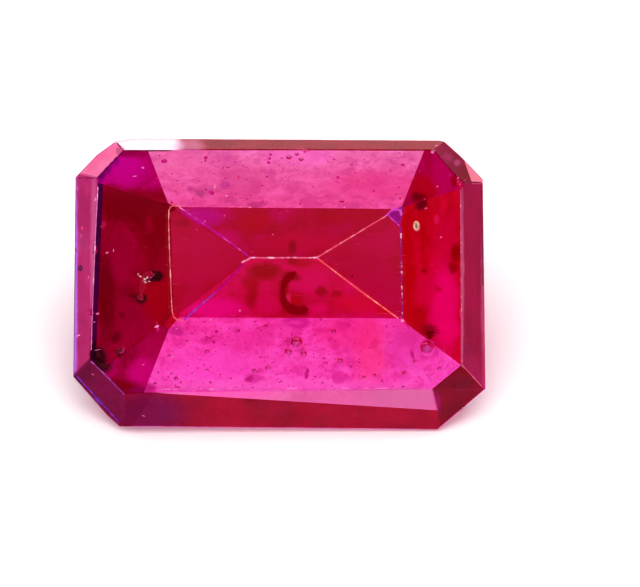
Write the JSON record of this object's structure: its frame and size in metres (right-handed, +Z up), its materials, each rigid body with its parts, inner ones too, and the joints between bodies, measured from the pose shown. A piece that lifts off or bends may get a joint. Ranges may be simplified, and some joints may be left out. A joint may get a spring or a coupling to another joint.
{
  "type": "cut ruby gemstone",
  "caption": "Loose octagonal step-cut ruby with a flat table and a two-step pavilion, lying on one long side of its pavilion.",
  "frame": {"origin": "on the surface that the stone lies on, under the middle of its outline", "axes": "+X along the stone's length, +Z up, and the table faces -Y and up"},
  "size_m": [0.0086, 0.005, 0.0046],
  "materials": {
    "ruby": "polished, see-through, crimson to pink"
  },
  "bodies": {
    "root": {"ruby": "ruby"}
  },
  "joints": []
}
